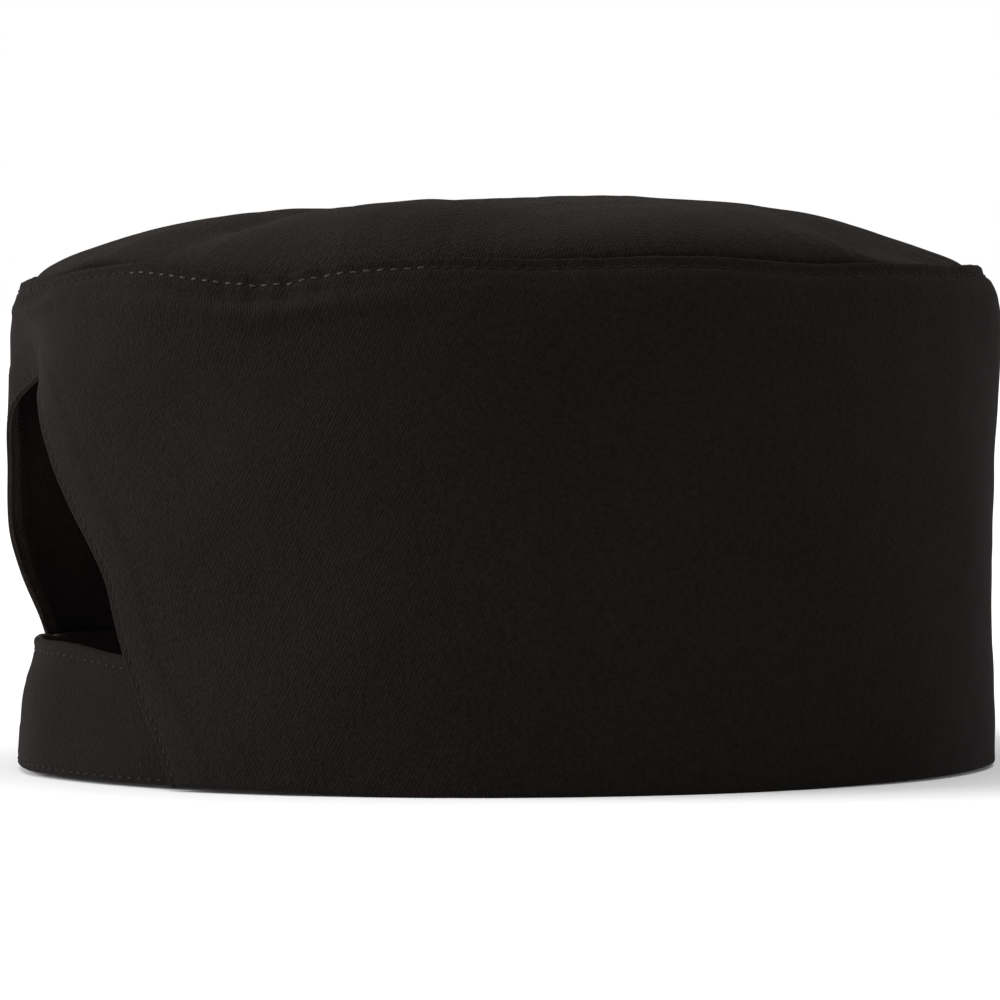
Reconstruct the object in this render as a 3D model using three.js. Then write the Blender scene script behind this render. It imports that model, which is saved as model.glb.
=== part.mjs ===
// Chef skull cap: a round cloth cap with a tall upright side band, a soft low crown and an open back
// that a plain strap closes along the rim.
// Millimetres. +X is the front of the cap, +Y the wearer's left, +Z up.
// The origin is on the floor under the middle of the cap. Turns are degrees round the cap from the front,
// positive towards the wearer's left, so 180 is the middle of the back.
import * as THREE from "three";

// Overall form
const RIM_LENGTH = 195.4;
const RIM_WIDTH = 168;
const OVAL_POWER = 2.08;
const BAND_HEIGHT = 100;
const CROWN_RISE = 11.4;
const CROWN_LEAN = 1.6;
const HOLLOW_POWER = 2.5;
const ROLL_POWER = 40;
const ROLL_PUFF = 0.12;

// Cloth
const BAND_WALL = 1.6;
const CROWN_WALL = 1.2;
const STRAP_WALL = 1.6;
const PIECE_GAP = 0.3;

// The band's rounded top, where it turns in to the seam
const SHOULDER_HEIGHT = 11.5;
const SHOULDER_PULL = 7.5;
const SHOULDER_SHARE = 0.93;
const SEAM_DROP = 5.2;
const SEAM_ALLOWANCE = 8;

// The open back and its strap
const OPENING_HEIGHT = 77;
const OPENING_WIDTH = 102;
const STRAP_HEIGHT = 25.5;
const STRAP_LIFT = 0.8;
const STRAP_TUCK = 16;
const STRAP_SWELL = 3.6;

// Depth of the soft dents in the band and width of the crown's creases
const CLOTH_DENT = 6;
const CREASE_WIDTH = 7;

// How finely the cloth is divided
const AROUND = 72;
const ROWS_BELOW_APEX = 13;
const ROWS_ABOVE_APEX = 6;
const ROWS_SKIRT = 2;
const ROWS_DOME = 13;
const STRAP_COLUMNS = 32;
const STRAP_ROWS = 5;
const BACK_CROWDING = 1.25;
const APEX_CROWDING = 1.25;
const SHOULDER_CROWDING = 1.5;
const DOME_CROWDING = 1.6;
const SMALL_STEP = 0.001;

const HALF_LENGTH = RIM_LENGTH / 2;
const HALF_WIDTH = RIM_WIDTH / 2;
const BACK = 180;

// Soft dents and swells of the band. up and reach are shares of the band's height,
// spread is degrees either way and pull a share of the deepest dent, inwards positive.
const BAND_FORMS = [
  { turn: -172, spread: 36, up: 0.22, reach: 0.18, pull: 0.75 },
  { turn: 180, spread: 45, up: 0.68, reach: 0.26, pull: -0.2 },
  { turn: 156, spread: 22, up: 0.44, reach: 0.2, pull: -0.55 },
  { turn: 180, spread: 8, up: 0.77, reach: 0.11, pull: 0.85 },
  { turn: 180, spread: 22, up: 0.945, reach: 0.034, pull: -0.28 },
  { turn: 163, spread: 22, up: 0.24, reach: 0.12, pull: 0.42 },
  { turn: 0, spread: 40, up: 0.46, reach: 0.22, pull: 0.2 },
];

// How far the crown seam hangs below its highest line, as a share of the seam's drop.
const SEAM_LINE = [
  { turn: -180, drop: 0.8 },
  { turn: -170, drop: 0.62 },
  { turn: -161, drop: 0.32 },
  { turn: -150, drop: 0.18 },
  { turn: -138, drop: 0.52 },
  { turn: -130, drop: 0.63 },
  { turn: -121, drop: 0.23 },
  { turn: -110, drop: 0 },
  { turn: -100, drop: 0.03 },
  { turn: -91, drop: 0.025 },
  { turn: -82, drop: 0.05 },
  { turn: -74, drop: 0.16 },
  { turn: -67, drop: 0.235 },
  { turn: -60, drop: 0.15 },
  { turn: -50, drop: 0.09 },
  { turn: -43, drop: 0.13 },
  { turn: -36, drop: 0.22 },
  { turn: -15, drop: 0.32 },
  { turn: 15, drop: 0.31 },
  { turn: 40, drop: 0.19 },
  { turn: 75, drop: 0 },
  { turn: 110, drop: 0 },
  { turn: 135, drop: 0.1 },
  { turn: 150, drop: 0.4 },
  { turn: 162, drop: 0.78 },
  { turn: 171, drop: 0.86 },
  { turn: 180, drop: 0.8 },
];

// Edge of the open back: half widths as shares of the opening's half width, from the rim to the apex.
const OPENING_EDGE = [
  { up: 0, half: 1 },
  { up: 0.11, half: 0.916 },
  { up: 0.24, half: 0.79 },
  { up: 0.34, half: 0.74 },
  { up: 0.5, half: 0.71 },
  { up: 0.62, half: 0.627 },
  { up: 0.79, half: 0.463 },
  { up: 0.9, half: 0.31 },
  { up: 0.945, half: 0.215 },
  { up: 0.975, half: 0.12 },
  { up: 1, half: 0 },
];

// How the crown rises from the seam at each turn. roll is the share of the rise that stands up beside
// the seam as a soft roll. Of the rest, hollow is the share that starts level and power the fullness of
// what is left, which rises at once and rounds over like a pillow.
const CROWN_PROFILE = [
  { turn: -180, hollow: 0, power: 2.5, roll: 0.38 },
  { turn: -160, hollow: 0, power: 4.4, roll: 0.4 },
  { turn: -146, hollow: 0, power: 5.2, roll: 0.18 },
  { turn: -130, hollow: 0, power: 8, roll: 0.2 },
  { turn: -116, hollow: 0, power: 7.5, roll: 0.15 },
  { turn: -103, hollow: 0, power: 5.5, roll: 0.18 },
  { turn: -88, hollow: 0.05, power: 4.4, roll: 0.3 },
  { turn: -65, hollow: 0.15, power: 3.6, roll: 0.3 },
  { turn: -42, hollow: 0.95, power: 3.6, roll: 0.06 },
  { turn: -18, hollow: 0.5, power: 2.6, roll: 0.2 },
  { turn: 8, hollow: 0.45, power: 2.6, roll: 0.2 },
  { turn: 35, hollow: 0.4, power: 4, roll: 0.16 },
  { turn: 65, hollow: 0.35, power: 4, roll: 0 },
  { turn: 120, hollow: 0, power: 4.4, roll: 0 },
  { turn: 140, hollow: 0, power: 4.7, roll: 0.05 },
  { turn: 160, hollow: 0, power: 4.4, roll: 0.34 },
  { turn: 180, hollow: 0, power: 2.5, roll: 0.38 },
];

// Creases of the crown: each runs from the seam at its turn to a point given as shares of the rim's
// half length and half width. width is a share of the crease width, depth a share of the crown's rise.
const CROWN_CREASES = [
  { turn: -150, along: -0.2, across: -0.12, width: 1, depth: 0.26 },
  { turn: -54, along: 0.5, across: -0.2, width: 0.9, depth: 0.2 },
  { turn: 146, along: -0.25, across: 0.2, width: 1.1, depth: 0.18 },
  { turn: 64, along: 0.4, across: 0.3, width: 1.2, depth: 0.14 },
];

// Puffed areas of the crown. size is a share of the rim's half width, rise of the crown's rise.
const CROWN_SWELLS = [
  { along: -0.5, across: -0.66, size: 0.24, rise: 0.14 },
  { along: 0.2, across: -0.6, size: 0.4, rise: 0.08 },
  { along: 0.1, across: 0.6, size: 0.4, rise: 0.06 },
];

const degrees = THREE.MathUtils.degToRad;

// Height of a bell-shaped hump at a distance given in widths of the hump.
function hump(distance) {
  return Math.exp(-distance * distance);
}

// The shortest way round from one turn to another, in degrees.
function turnBetween(from, to) {
  return THREE.MathUtils.euclideanModulo(to - from + BACK, 2 * BACK) - BACK;
}

// Reads a table on a smooth curve through its rows, held level beyond the first and the last.
function readTable(rows, key, value, at) {
  const last = rows.length - 1;
  const slope = (i) => {
    const before = rows[Math.max(i - 1, 0)];
    const after = rows[Math.min(i + 1, last)];
    return (after[value] - before[value]) / (after[key] - before[key]);
  };
  const place = THREE.MathUtils.clamp(at, rows[0][key], rows[last][key]);
  const next = Math.max(1, rows.findIndex((row) => row[key] >= place));
  const low = rows[next - 1];
  const high = rows[next];
  const span = high[key] - low[key];
  const q = (place - low[key]) / span;
  const keepLow = (1 + 2 * q) * (1 - q) ** 2 * low[value];
  const keepHigh = q * q * (3 - 2 * q) * high[value];
  const bendLow = q * (1 - q) ** 2 * span * slope(next - 1);
  const bendHigh = q * q * (q - 1) * span * slope(next);
  return keepLow + keepHigh + bendLow + bendHigh;
}

// The rim's oval at a turn.
function ovalPoint(turn) {
  const c = Math.cos(degrees(turn));
  const s = Math.sin(degrees(turn));
  return new THREE.Vector2(
    HALF_LENGTH * Math.sign(c) * Math.abs(c) ** (2 / OVAL_POWER),
    HALF_WIDTH * Math.sign(s) * Math.abs(s) ** (2 / OVAL_POWER),
  );
}

// Level direction out of the rim's oval at a turn.
function ovalOutward(turn) {
  const step = ovalPoint(turn + SMALL_STEP).sub(ovalPoint(turn - SMALL_STEP));
  return new THREE.Vector2(step.y, -step.x).normalize();
}

// Height of the crown seam at a turn.
function seamHeight(turn) {
  const around = turnBetween(0, turn);
  return BAND_HEIGHT - SEAM_DROP * readTable(SEAM_LINE, "turn", "drop", around);
}

// How far the shoulder draws the wall in at a height below the seam.
function shoulderPull(belowSeam) {
  const share = SHOULDER_SHARE * Math.max(0, 1 - belowSeam / SHOULDER_HEIGHT);
  return SHOULDER_PULL * (1 - Math.sqrt(1 - share * share));
}

// Outer face of the band's cloth. level is a share of the height from the rim to the seam.
function bandPoint(turn, level) {
  const height = level * seamHeight(turn);
  const dents = BAND_FORMS.reduce((sum, form) => {
    const aside = turnBetween(form.turn, turn) / form.spread;
    const above = (height / BAND_HEIGHT - form.up) / form.reach;
    return sum + CLOTH_DENT * form.pull * hump(aside) * hump(above);
  }, 0);
  const pull = dents + shoulderPull(seamHeight(turn) - height);
  const out = ovalOutward(turn);
  const plan = ovalPoint(turn).addScaledVector(out, -pull);
  return new THREE.Vector3(plan.x, plan.y, height);
}

// Direction out of the band's cloth, level along the rim so that the rim stays flat.
function bandOutward(turn, level) {
  if (level === 0) {
    const out = ovalOutward(turn);
    return new THREE.Vector3(out.x, out.y, 0);
  }
  const round = bandPoint(turn + SMALL_STEP, level).sub(bandPoint(turn - SMALL_STEP, level));
  const up = bandPoint(turn, level + SMALL_STEP).sub(bandPoint(turn, level - SMALL_STEP));
  return round.cross(up).normalize();
}

// A point inside the band's outer face by a depth of cloth.
function bandLayer(turn, level, depth) {
  return bandPoint(turn, level).addScaledVector(bandOutward(turn, level), -depth);
}

// Turn from the middle of the back at which the oval is a given distance to one side.
function turnOffBack(sideways) {
  return THREE.MathUtils.radToDeg(Math.asin((sideways / HALF_WIDTH) ** (OVAL_POWER / 2)));
}

// Turn of the opening's edge at a height, 180 above the apex.
function edgeTurn(height) {
  if (height >= OPENING_HEIGHT) {
    return BACK;
  }
  const half = readTable(OPENING_EDGE, "up", "half", height / OPENING_HEIGHT);
  return BACK - turnOffBack((half * OPENING_WIDTH) / 2);
}

// Shares from 0 to 1 in equal steps, crowded towards 1 by a power above 1.
function crowdedShares(count, crowding) {
  return Array.from({ length: count + 1 }, (_, i) => 1 - (1 - i / count) ** crowding);
}

// Shares of the way round, from -1 at the back past 0 in front to 1 at the back.
function sharesAround() {
  const half = crowdedShares(AROUND / 2, BACK_CROWDING);
  return [...half.slice(1).reverse().map((share) => -share), ...half];
}

// Outward directions of a grid of points whose rows run up and whose columns run round the cap.
function gridOutward(grid) {
  const lastRow = grid.length - 1;
  return grid.map((row, r) =>
    row.map((_, c) => {
      const columns = row.length - 1;
      const after = row[c === columns ? 1 : c + 1];
      const before = row[c === 0 ? columns - 1 : c - 1];
      const above = grid[Math.min(r + 1, lastRow)][c];
      const below = grid[Math.max(r - 1, 0)][c];
      const round = after.clone().sub(before);
      return round.cross(above.clone().sub(below)).normalize();
    }),
  );
}

// Gathers faces over shared corners into one closed surface.
class Shell {
  constructor() {
    this.corners = [];
    this.faces = [];
    this.known = new Map();
  }

  corner(point) {
    const key = point.toArray().map((value) => value.toFixed(4)).join();
    if (!this.known.has(key)) {
      this.known.set(key, this.corners.length / 3);
      this.corners.push(...point.toArray());
    }
    return this.known.get(key);
  }

  triangle(a, b, c) {
    const face = [this.corner(a), this.corner(b), this.corner(c)];
    if (new Set(face).size === face.length) {
      this.faces.push(...face);
    }
  }

  quad(a, b, c, d) {
    if (a.distanceTo(c) <= b.distanceTo(d)) {
      this.triangle(a, b, c);
      this.triangle(a, c, d);
    } else {
      this.triangle(a, b, d);
      this.triangle(b, c, d);
    }
  }

  geometry() {
    const built = new THREE.BufferGeometry();
    built.setAttribute("position", new THREE.Float32BufferAttribute(this.corners, 3));
    built.setIndex(this.faces);
    built.computeVertexNormals();
    return built;
  }
}

// A closed sheet of cloth between an outer and an inner grid of points.
// sideRows is the number of rows, from the lowest, whose two ends are cut edges.
function clothGeometry(outer, inner, sideRows) {
  const shell = new Shell();
  const rows = outer.length - 1;
  const columns = outer[0].length - 1;
  for (let c = 0; c < columns; c += 1) {
    for (let r = 0; r < rows; r += 1) {
      shell.quad(outer[r][c], outer[r][c + 1], outer[r + 1][c + 1], outer[r + 1][c]);
      shell.quad(inner[r][c], inner[r + 1][c], inner[r + 1][c + 1], inner[r][c + 1]);
    }
    shell.quad(outer[0][c + 1], outer[0][c], inner[0][c], inner[0][c + 1]);
    if (outer[rows][c].distanceTo(outer[rows][c + 1]) > 0) {
      shell.quad(outer[rows][c], outer[rows][c + 1], inner[rows][c + 1], inner[rows][c]);
    }
  }
  for (let r = 0; r < sideRows; r += 1) {
    shell.quad(outer[r][0], outer[r + 1][0], inner[r + 1][0], inner[r][0]);
    shell.quad(outer[r + 1][columns], outer[r][columns], inner[r][columns], inner[r + 1][columns]);
  }
  return shell.geometry();
}

// The band: one wall all round, cut open at the back from the rim to the apex.
function sideBandGeometry() {
  const apexLevel = OPENING_HEIGHT / seamHeight(BACK);
  const below = crowdedShares(ROWS_BELOW_APEX, APEX_CROWDING).map((share) => share * apexLevel);
  const above = crowdedShares(ROWS_ABOVE_APEX, SHOULDER_CROWDING).slice(1);
  const levels = [...below, ...above.map((share) => apexLevel + share * (1 - apexLevel))];
  const layer = (depth) =>
    levels.map((level) => {
      const endTurn = edgeTurn(level * seamHeight(BACK));
      return sharesAround().map((share) => bandLayer(share * endTurn, level, depth));
    });
  return clothGeometry(layer(0), layer(BAND_WALL), ROWS_BELOW_APEX);
}

// How far the crown has risen at a share of the way out from its middle.
function crownLift(turn, out) {
  const around = turnBetween(0, turn);
  const power = readTable(CROWN_PROFILE, "turn", "power", around);
  const hollow = readTable(CROWN_PROFILE, "turn", "hollow", around);
  const rounded = 1 - out ** power;
  const hollowed = Math.cos((Math.PI / 2) * out ** HOLLOW_POWER) ** 2;
  const dome = THREE.MathUtils.lerp(rounded, hollowed, hollow);
  return THREE.MathUtils.lerp(dome, 1 - out ** ROLL_POWER, crownRoll(turn));
}

// Share of the crown's rise that stands up beside the seam.
function crownRoll(turn) {
  return readTable(CROWN_PROFILE, "turn", "roll", turnBetween(0, turn));
}

// Share of the way out at which the cloth really lies, pushed out where the roll stands up.
function puffedOut(turn, out) {
  const rolled = out ** ROLL_POWER;
  return out + ROLL_PUFF * crownRoll(turn) * rolled * (1 - rolled);
}

// Depth of the crown's creases at a point of its plan.
function creaseDepth(plan) {
  return CROWN_CREASES.reduce((sum, crease) => {
    const start = ovalPoint(crease.turn);
    const end = new THREE.Vector2(crease.along * HALF_LENGTH, crease.across * HALF_WIDTH);
    const run = end.clone().sub(start);
    const along = plan.clone().sub(start).dot(run) / run.lengthSq();
    const q = THREE.MathUtils.clamp(along, 0, 1);
    const aside = plan.distanceTo(start.clone().addScaledVector(run, q));
    const fade = 1 - THREE.MathUtils.smoothstep(q, 0.3, 1);
    return sum + CROWN_RISE * crease.depth * fade * hump(aside / (CREASE_WIDTH * crease.width));
  }, 0);
}

// Height of the crown's puffed areas at a point of its plan.
function swellHeight(plan) {
  return CROWN_SWELLS.reduce((sum, swell) => {
    const middle = new THREE.Vector2(swell.along * HALF_LENGTH, swell.across * HALF_WIDTH);
    const away = plan.distanceTo(middle) / (swell.size * HALF_WIDTH);
    return sum + CROWN_RISE * swell.rise * hump(away);
  }, 0);
}

// Outer face of the crown above the seam. out is a share of the way from the middle to the seam.
function crownPoint(turn, out) {
  const seam = bandLayer(turn, 1, BAND_WALL + PIECE_GAP);
  const plan = new THREE.Vector2(seam.x, seam.y).multiplyScalar(puffedOut(turn, out));
  const offSeam = 1 - out ** 6;
  const lift = crownLift(turn, out) * (CROWN_RISE + (CROWN_LEAN * plan.x) / HALF_LENGTH);
  const folds = offSeam * (swellHeight(plan) - creaseDepth(plan));
  const base = THREE.MathUtils.lerp(BAND_HEIGHT, seam.z, out ** 3);
  return new THREE.Vector3(plan.x, plan.y, base + lift + folds);
}

// The crown: a soft dome whose edge turns down inside the band as its seam allowance.
function crownGeometry() {
  const turns = sharesAround().map((share) => share * BACK);
  const skirtShares = Array.from({ length: ROWS_SKIRT }, (_, i) => i / ROWS_SKIRT);
  const skirt = skirtShares.map((share) =>
    turns.map((turn) => {
      const level = 1 - ((1 - share) * SEAM_ALLOWANCE) / seamHeight(turn);
      return bandLayer(turn, level, BAND_WALL + PIECE_GAP);
    }),
  );
  const outs = crowdedShares(ROWS_DOME, DOME_CROWDING).reverse();
  const dome = outs.map((out) => turns.map((turn) => crownPoint(turn, out)));
  const outer = [...skirt, ...dome];
  const outward = gridOutward(outer);
  const middle = outer.length - 1;
  const inner = outer.map((row, r) =>
    row.map((point, c) => {
      const out = r === middle ? new THREE.Vector3(0, 0, 1) : outward[r][c];
      return point.clone().addScaledVector(out, -CROWN_WALL);
    }),
  );
  return clothGeometry(outer, inner, 0);
}

// The strap: a plain strip along the rim that spans the opening and tucks in behind both of its edges.
// Between the edges it swells out a little past the band's line.
function backStrapGeometry() {
  const tuck = THREE.MathUtils.radToDeg(STRAP_TUCK / HALF_WIDTH);
  const reach = turnOffBack(OPENING_WIDTH / 2) + tuck;
  const free = BACK - edgeTurn(STRAP_LIFT + STRAP_HEIGHT);
  const layer = (depth) =>
    Array.from({ length: STRAP_ROWS + 1 }, (_, r) => {
      const height = STRAP_LIFT + (STRAP_HEIGHT * r) / STRAP_ROWS;
      return Array.from({ length: STRAP_COLUMNS + 1 }, (_, c) => {
        const offBack = reach * ((2 * c) / STRAP_COLUMNS - 1);
        const swell = STRAP_SWELL * (1 - THREE.MathUtils.smoothstep(Math.abs(offBack), 0, free));
        return bandLayer(BACK + offBack, height / seamHeight(BACK + offBack), depth - swell);
      });
    });
  const face = BAND_WALL + PIECE_GAP;
  return clothGeometry(layer(face), layer(face + STRAP_WALL), STRAP_ROWS);
}

// Black cotton twill, a little warmer on the crown where the light catches it.
function clothMaterial(colour) {
  return new THREE.MeshStandardMaterial({ color: colour, roughness: 0.92, metalness: 0 });
}

function clothPiece(name, geometry, colour) {
  const piece = new THREE.Mesh(geometry, clothMaterial(colour));
  piece.name = name;
  return piece;
}

const cap = new THREE.Group();
cap.add(clothPiece("side_band", sideBandGeometry(), 0x1f1b19));
cap.add(clothPiece("crown_panel", crownGeometry(), 0x25211e));
cap.add(clothPiece("back_strap", backStrapGeometry(), 0x221d1c));

// The dents leave the back a little shorter than the front, so the cap is set over the origin by its box.
const extent = new THREE.Box3().setFromObject(cap);
cap.position.x = -(extent.min.x + extent.max.x) / 2;

export default cap;
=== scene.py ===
"""Chef skull cap: the cloth, its stitching and a plain studio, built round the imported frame.

The cloth follows the same named sizes and tables as the CAD solids. Sizes are in millimetres until a
mesh is placed, and every finished mesh is in metres in the part's own frame: +X is the front of the
cap, +Y the wearer's left and +Z up. Turns are degrees round the cap from the front, positive towards
the wearer's left, so 180 is the middle of the back.
"""

import logging
import math
from dataclasses import dataclass
from enum import Enum
from typing import NamedTuple

import bmesh
import bpy
import numpy as np
from mathutils import Matrix, Vector


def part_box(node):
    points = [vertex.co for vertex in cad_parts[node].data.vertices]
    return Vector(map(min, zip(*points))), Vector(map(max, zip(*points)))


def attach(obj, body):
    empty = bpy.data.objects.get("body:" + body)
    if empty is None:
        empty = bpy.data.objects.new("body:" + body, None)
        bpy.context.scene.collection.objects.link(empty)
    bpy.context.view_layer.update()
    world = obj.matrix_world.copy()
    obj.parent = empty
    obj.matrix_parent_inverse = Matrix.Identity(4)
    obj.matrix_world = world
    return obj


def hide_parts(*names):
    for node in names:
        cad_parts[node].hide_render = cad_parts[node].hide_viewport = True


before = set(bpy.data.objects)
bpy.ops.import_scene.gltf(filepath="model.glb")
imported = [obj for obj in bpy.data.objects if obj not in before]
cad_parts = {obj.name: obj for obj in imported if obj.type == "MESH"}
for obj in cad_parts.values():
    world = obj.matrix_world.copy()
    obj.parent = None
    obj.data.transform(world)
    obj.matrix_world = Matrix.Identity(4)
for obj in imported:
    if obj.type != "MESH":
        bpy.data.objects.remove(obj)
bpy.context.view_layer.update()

LOG = logging.getLogger("skull_cap")
MM = 0.001
BACK = 180.0
SMALL_STEP = 0.001
UV_NAME = "cloth"
RULER_MARKS = 7201

# Distances within which corners are welded: on the cloth in millimetres, and at a pole in steps of its chain.
WELD = 0.002
POLE_WELD = 0.0001


class Side(Enum):
    """The two faces of a layer of cloth."""

    OUTER = 1
    INNER = -1


class Bell(NamedTuple):
    """A rounded rise of the cloth: where its top is, how far it reaches and how high it stands."""

    at: float
    reach: float
    height: float

    def over(self, place: np.ndarray) -> np.ndarray:
        """Height of the rise at places along a line."""
        return self.height * hump((place - self.at) / self.reach)

    def over_turn(self, turn: np.ndarray) -> np.ndarray:
        """Height of the rise at turns, the shortest way round."""
        return self.height * hump(turn_between(self.at, turn) / self.reach)


class BandDent(NamedTuple):
    """A soft dent of the band: shares of the band's height, degrees either way, share of the deepest dent."""

    turn: float
    spread: float
    up: float
    reach: float
    pull: float


class BandCrease(NamedTuple):
    """A fine crease of the band on one side of the middle of the back, in millimetres."""

    side: int
    start: tuple[float, float]
    end: tuple[float, float]
    width: float
    depth: float

    def depth_at(self, aside: np.ndarray, height: np.ndarray, turn: np.ndarray) -> np.ndarray:
        """How deep the crease is.

        Args:
            aside: distances from the middle of the back.
            height: heights over the rim.
            turn: turns, whose sign tells the side.

        Returns:
            Millimetres into the cloth.
        """
        spots = np.stack([aside, height], axis=-1)
        off, _ = off_line(spots, np.array(self.start), np.array(self.end))
        here = np.sign(turn_between(0, turn)) == self.side
        return self.depth * hump(off / self.width) * here


class CrownCrease(NamedTuple):
    """A crease from the seam at a turn to a point of the crown, in shares of the named sizes."""

    turn: float
    along: float
    across: float
    width: float
    depth: float


class CrownSwell(NamedTuple):
    """A puffed area of the crown, in shares of the rim's half sizes and the crown's rise."""

    along: float
    across: float
    size: float
    rise: float


class Grain(NamedTuple):
    """Noise over the cloth: features to a metre, how many finer layers, and how much it counts."""

    scale: float
    detail: float
    weight: float


BAND_DENTS = (
    BandDent(turn=-172, spread=36, up=0.22, reach=0.18, pull=0.75),
    BandDent(turn=180, spread=45, up=0.68, reach=0.26, pull=-0.2),
    BandDent(turn=156, spread=22, up=0.44, reach=0.2, pull=-0.55),
    BandDent(turn=180, spread=8, up=0.77, reach=0.11, pull=0.85),
    BandDent(turn=180, spread=22, up=0.945, reach=0.034, pull=-0.28),
    BandDent(turn=163, spread=22, up=0.24, reach=0.12, pull=0.42),
    BandDent(turn=0, spread=40, up=0.46, reach=0.22, pull=0.2),
    BandDent(turn=-136, spread=17, up=0.735, reach=0.085, pull=0.17),
)

# Turn and drop of the crown seam, as a share of the seam's drop.
SEAM_LINE = (
    (-180, 0.8), (-170, 0.62), (-161, 0.32), (-150, 0.18), (-138, 0.52), (-130, 0.63), (-121, 0.23),
    (-110, 0.0), (-100, 0.03), (-91, 0.025), (-82, 0.05), (-74, 0.16), (-67, 0.235), (-60, 0.15),
    (-50, 0.09), (-43, 0.13), (-36, 0.22), (-15, 0.32), (15, 0.31), (40, 0.19),
    (75, 0.0), (110, 0.0), (135, 0.1), (150, 0.4), (162, 0.78), (171, 0.86), (180, 0.8),
)

# Height and half width of the open back, as shares of the opening's height and half width.
OPENING_EDGE = (
    (0.0, 1.0), (0.11, 0.916), (0.24, 0.79), (0.34, 0.74), (0.5, 0.71),
    (0.62, 0.627), (0.79, 0.463), (0.9, 0.31), (0.945, 0.215), (0.975, 0.12), (1.0, 0.0),
)

# Turn and share of the crown's rise that starts level.
CROWN_HOLLOW = (
    (-180, 0.0), (-103, 0.0), (-88, 0.05), (-65, 0.15), (-42, 0.95), (-18, 0.5), (8, 0.45), (35, 0.4),
    (65, 0.35), (120, 0.0), (180, 0.0),
)

# Turn and fullness of the rest of the crown's rise.
CROWN_POWER = (
    (-180, 2.5), (-160, 4.4), (-146, 5.2), (-130, 8.0), (-116, 7.5), (-103, 5.5), (-88, 4.4), (-65, 3.6),
    (-42, 3.6), (-18, 2.6), (8, 2.6), (35, 4.0), (65, 4.0), (120, 4.4), (140, 4.7), (160, 4.4), (180, 2.5),
)

# Turn and share of the crown's rise that stands up beside the seam as a soft roll.
CROWN_ROLL = (
    (-180, 0.38), (-160, 0.4), (-146, 0.18), (-130, 0.2), (-116, 0.15), (-103, 0.22), (-88, 0.42),
    (-65, 0.42), (-42, 0.06), (-18, 0.2), (8, 0.2), (35, 0.16), (65, 0.0), (120, 0.0), (140, 0.05),
    (160, 0.34), (180, 0.38),
)

# Creases of the band: from a place to a place, each a distance from the middle of the back and a height.
BAND_CREASES = (
    BandCrease(side=-1, start=(1.2, 77.3), end=(4.6, 81.2), width=0.7, depth=0.55),
    BandCrease(side=-1, start=(3.0, 81.5), end=(9.0, 86.0), width=2.4, depth=0.25),
)

# Turn and share of the most that the rim's cloth is lifted off the floor.
RIM_LIFT = (
    (-180, 0.0), (-160, 0.0), (-147, 0.65), (-134, 0.85), (-122, 0.4), (-112, 0.0), (-70, 0.0), (-55, 0.25),
    (-40, 0.45), (-10, 0.5), (20, 0.4), (60, 0.0), (180, 0.0),
)

# Turns between which the seam's stitches stand a little prouder and take a paler thread colour, a painted
# highlight.
HIGHLIT_STITCHES = (-152.0, -111.0)

# Creases that run from the seam into the crown, and its puffed areas.
CROWN_CREASES = (
    CrownCrease(turn=-150, along=-0.2, across=-0.12, width=1.0, depth=0.26),
    CrownCrease(turn=-54, along=0.5, across=-0.2, width=0.9, depth=0.2),
    CrownCrease(turn=146, along=-0.25, across=0.2, width=1.1, depth=0.18),
    CrownCrease(turn=64, along=0.4, across=0.3, width=1.2, depth=0.14),
)

CROWN_SWELLS = (
    CrownSwell(along=-0.5, across=-0.66, size=0.24, rise=0.14),
    CrownSwell(along=0.2, across=-0.6, size=0.4, rise=0.08),
    CrownSwell(along=0.1, across=0.6, size=0.4, rise=0.06),
)


def hump(distance: np.ndarray) -> np.ndarray:
    """Height of a bell-shaped hump at a distance given in widths of the hump."""
    return np.exp(-np.square(distance))


def smooth_step(value: np.ndarray, low: float, high: float) -> np.ndarray:
    """A smooth rise from 0 at low to 1 at high."""
    share = np.clip((value - low) / (high - low), 0.0, 1.0)
    return share * share * (3.0 - 2.0 * share)


def turn_between(start: float, end: np.ndarray) -> np.ndarray:
    """The shortest way round from one turn to another, in degrees."""
    return np.mod(np.asarray(end) - start + BACK, 2 * BACK) - BACK


def rises(bells: tuple[Bell, ...], place: np.ndarray) -> np.ndarray:
    """Summed height of several rises at places along a line."""
    return sum(bell.over(place) for bell in bells)


def off_line(spots: np.ndarray, start: np.ndarray, end: np.ndarray) -> tuple[np.ndarray, np.ndarray]:
    """How spots of a plane lie to a straight line between two points.

    Args:
        spots: the spots, [..., 2].
        start: where the line starts.
        end: where it ends.

    Returns:
        Distances from the line, and shares of its length at which the spots lie beside it.
    """
    run = end - start
    share = np.clip((spots - start) @ run / (run @ run), 0.0, 1.0)
    away = spots - start - share[..., None] * run
    return np.hypot(away[..., 0], away[..., 1]), share


def rounded_edge(off: np.ndarray, wall: np.ndarray) -> tuple[np.ndarray, np.ndarray]:
    """How both faces of the cloth round over towards an edge.

    Args:
        off: distances from the edge.
        wall: thickness of the cloth.

    Returns:
        Shares of the way into the rounding, and millimetres by which each face is drawn in.
    """
    radius = wall / 2
    share = 1 - np.clip(off / radius, 0.0, 1.0)
    return share, radius * (1 - np.sqrt(np.maximum(0.0, 1 - share * share)))


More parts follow.
